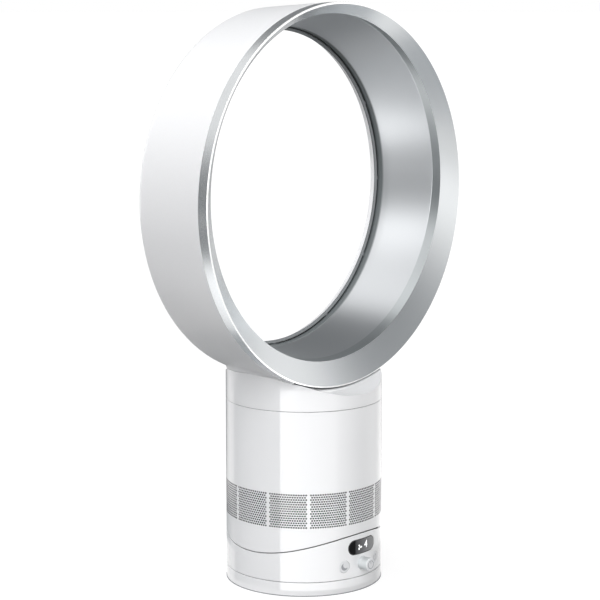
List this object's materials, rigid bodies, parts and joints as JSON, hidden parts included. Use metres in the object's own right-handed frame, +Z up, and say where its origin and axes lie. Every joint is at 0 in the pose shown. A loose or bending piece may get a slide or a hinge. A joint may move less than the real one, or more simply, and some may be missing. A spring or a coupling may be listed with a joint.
{
  "type": "bladeless fan",
  "caption": "Bladeless desk fan: a round silver air loop on a white drum with a perforated inlet, a tilting body, an oscillating base, push buttons and a turn-and-press knob.",
  "frame": {"origin": "centre of the round base, on the surface that the fan stands on", "axes": "+Z up, -Y to the front where the air leaves and the controls are, +X to the fan's left-hand side as it faces the user"},
  "size_m": [0.3635, 0.1651, 0.5593],
  "materials": {
    "silver_paint": "satin silver paint on moulded plastic",
    "white_gloss": "polished white moulded plastic",
    "dark_window": "smoked clear window",
    "black_plastic": "fine matt",
    "lamp": "white light-emitting segments",
    "circuit_board": "green resist",
    "rubber": "matt soft rubber",
    "foam": "open-cell foam",
    "steel": "plated or ground steel",
    "acetal": "natural acetal",
    "grey_plastic": "moulded grey plastic"
  },
  "bodies": {
    "foot": {"foot_shell": "white_gloss", "bottom_cover": "grey_plastic", "rubber_foot_ring": "rubber", "centre_pad": "rubber", "cover_screws": "steel", "turntable_pivot": "grey_plastic", "slide_ring": "acetal", "oscillation_gear": "acetal", "cable_gland": "black_plastic"},
    "upper_base": {"upper_base_shell": "white_gloss", "tilt_cradle": "grey_plastic", "cradle_screws": "steel", "thrust_washer": "acetal", "motor_bracket": "steel", "oscillation_motor": "black_plastic", "display_window": "dark_window", "display_mask": "black_plastic", "display_lamps": "lamp", "display_board": "circuit_board", "control_board": "circuit_board", "button_switches": "black_plastic", "dial_encoder": "black_plastic"},
    "pinion": {"oscillation_pinion": "acetal"},
    "sleep_key": {"sleep_button": "white_gloss"},
    "oscillation_key": {"oscillation_button": "white_gloss"},
    "dial_carriage": {"dial_plunger": "acetal"},
    "dial": {"dial_knob": "white_gloss", "dial_shaft": "steel"},
    "main_body": {"body_shell": "white_gloss", "inlet_screens": "white_gloss", "rocker_floor": "grey_plastic", "tilt_rails": "grey_plastic", "tilt_glide_pads": "acetal", "drive_board": "circuit_board", "impeller_housing": "grey_plastic", "housing_screws": "steel", "diffuser_vanes": "grey_plastic", "duct_foam": "foam", "airway_seal": "rubber", "motor_bucket_lower": "grey_plastic", "motor_bucket_upper": "grey_plastic", "motor_stator": "steel", "motor_bearings": "steel", "bayonet_ring": "grey_plastic", "neck_gasket": "rubber"},
    "impeller_rotor": {"impeller": "grey_plastic", "impeller_nut": "steel", "motor_shaft": "steel", "motor_rotor": "steel"},
    "loop": {"loop_collar": "white_gloss", "loop_spigot": "grey_plastic", "collar_screws": "steel", "loop_outer_casing": "silver_paint", "loop_rear_lip": "silver_paint", "loop_inner_casing": "silver_paint", "loop_front_trim": "silver_paint", "trim_gasket": "rubber", "slot_spacers": "grey_plastic", "air_splitter": "grey_plastic"}
  },
  "joints": [
    {"name": "oscillate", "type": "hinge", "parent": "foot", "child": "upper_base", "pos_m": [0, 0, 0.01375], "axis": [0, 0, 1], "range_deg": [-45, 45]},
    {"name": "pinion_spin", "type": "hinge", "parent": "upper_base", "child": "pinion", "pos_m": [0, 0.039, 0.02], "axis": [0, 0, 1], "range_deg": [-151, 151]},
    {"name": "tilt", "type": "hinge", "parent": "upper_base", "child": "main_body", "pos_m": [0, 0, 0.2183], "axis": [1, 0, 0], "range_deg": [-10, 10]},
    {"name": "impeller_spin", "type": "hinge", "parent": "main_body", "child": "impeller_rotor", "pos_m": [0, 0, 0.12], "axis": [0, 0, 1], "continuous": true},
    {"name": "loop_twist", "type": "hinge", "parent": "main_body", "child": "loop", "pos_m": [0, 0, 0.1791], "axis": [0, 0, 1], "range_deg": [0, 15]},
    {"name": "sleep_press", "type": "slide", "parent": "upper_base", "child": "sleep_key", "axis": [0.299, 0.9542, 0], "range_m": [0, 0.0008], "stiffness_N_per_m": 300},
    {"name": "oscillation_press", "type": "slide", "parent": "upper_base", "child": "oscillation_key", "axis": [-0.299, 0.9542, 0], "range_m": [0, 0.0008], "stiffness_N_per_m": 300},
    {"name": "dial_press", "type": "slide", "parent": "upper_base", "child": "dial_carriage", "axis": [0, 1, 0], "range_m": [0, 0.0015], "stiffness_N_per_m": 400},
    {"name": "dial_turn", "type": "hinge", "parent": "dial_carriage", "child": "dial", "pos_m": [0, -0.08, 0.0264], "axis": [0, -1, 0], "continuous": true}
  ],
  "couplings": [
    {"joint": "pinion_spin", "follows": "oscillate", "ratio": 3.3333}
  ]
}
